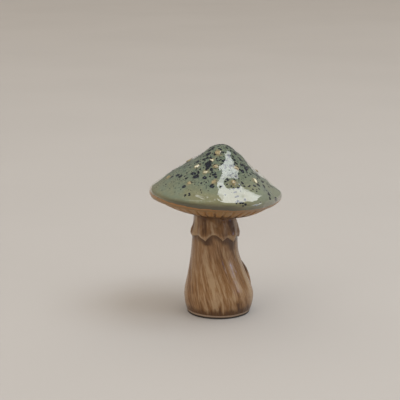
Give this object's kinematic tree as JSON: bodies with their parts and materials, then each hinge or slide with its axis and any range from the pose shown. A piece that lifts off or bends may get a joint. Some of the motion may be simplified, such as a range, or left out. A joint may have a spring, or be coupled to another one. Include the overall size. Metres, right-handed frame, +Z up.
{
  "type": "ceramic mushroom ornament",
  "caption": "Hollow glazed stoneware mushroom figurine: a conical green cap with fused glass chips, luted on a bulbous wood-brown stem with a scalloped veil.",
  "frame": {"origin": "centre of the foot, on the surface that the ornament stands on", "axes": "+Z up along the stem, front faces -Y, +X to the right as seen from the front"},
  "size_m": [0.0733, 0.0732, 0.0963],
  "materials": {
    "cap_clay": "bare fired stoneware, matt, covered by the glaze",
    "joining_slip": "bare fired slip, matt",
    "gill_glaze": "thin tan wash with dark lines between the gills, satin",
    "green_glaze": "thick glossy sage green reactive glaze with cobalt specks",
    "amber_glass": "fused crushed amber glass, glossy",
    "cobalt_glass": "melted dark cobalt glass, glossy",
    "stem_glaze": "brushed wood-brown glaze in long streaks, semi-gloss, bare pale clay at the foot",
    "veil_glaze": "brushed wood-brown glaze, semi-gloss",
    "bark_glaze": "darker brown glaze, semi-gloss"
  },
  "bodies": {
    "root": {"cap_dome": "cap_clay", "cap_seam_slip": "joining_slip", "gill_plate": "gill_glaze", "cap_glaze": "green_glaze", "amber_chips": "amber_glass", "cobalt_chips": "cobalt_glass", "stem_body": "stem_glaze", "stem_joint_slip": "joining_slip", "veil_skirt": "veil_glaze", "bark_lobe": "bark_glaze"}
  },
  "joints": []
}
